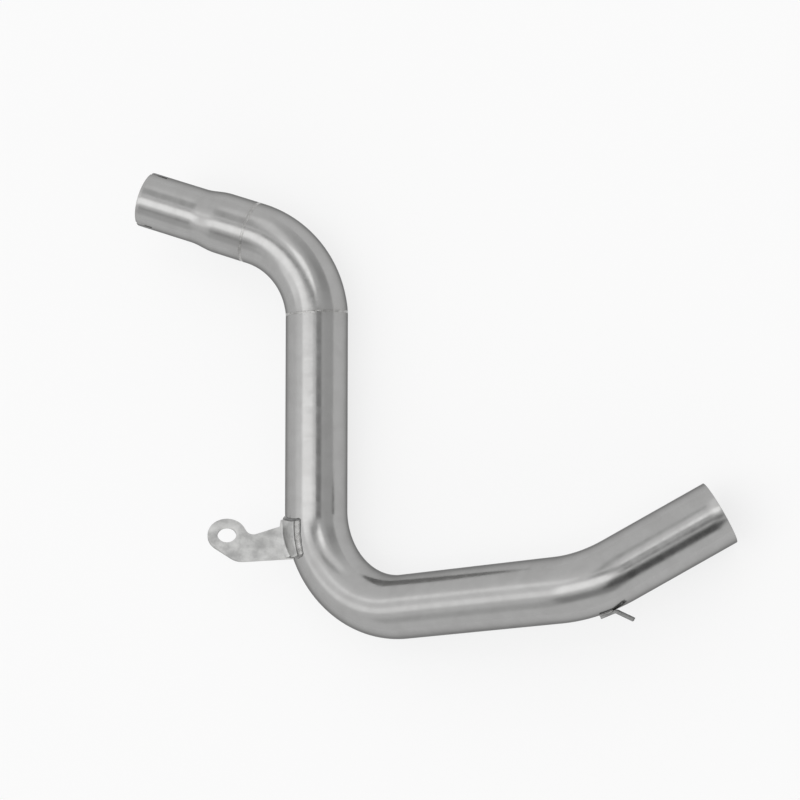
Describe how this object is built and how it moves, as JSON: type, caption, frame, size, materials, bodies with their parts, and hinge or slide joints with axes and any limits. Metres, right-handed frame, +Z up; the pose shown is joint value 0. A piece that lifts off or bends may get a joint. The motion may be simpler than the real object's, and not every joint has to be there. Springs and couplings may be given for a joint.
{
  "type": "motorcycle exhaust mid pipe with catalyst",
  "caption": "Bent stainless steel exhaust link pipe with a slotted, flared inlet stub, a catalyst in its upright run, a saddle bracket with an eye and a small rear tab.",
  "frame": {"origin": "middle of the outer box at floor level, with the pipe lying as it comes to rest on its upright run and on the rim of its outlet", "axes": "+Z up from the floor, +Y along the upright run towards the inlet, +X from the inlet's side towards the outlet"},
  "size_m": [0.5971, 0.4499, 0.1008],
  "materials": {
    "tube_steel": "satin, polished round the tube",
    "sheet_steel": "matt pickled sheet",
    "weld_steel": "weld metal, dark at its toes",
    "catalyst_steel": "coated foil, matt grey"
  },
  "bodies": {
    "root": {"inlet_connector": "tube_steel", "inlet_weld": "weld_steel", "upper_elbow": "tube_steel", "elbow_weld": "weld_steel", "main_pipe": "tube_steel", "catalyst_mantle": "catalyst_steel", "catalyst_honeycomb": "catalyst_steel", "mantle_weld": "weld_steel", "front_bracket": "sheet_steel", "bracket_weld_top": "weld_steel", "bracket_weld_side": "weld_steel", "bracket_weld_end": "weld_steel", "rear_tab": "sheet_steel", "tab_weld_near": "weld_steel", "tab_weld_far": "weld_steel"}
  },
  "joints": []
}
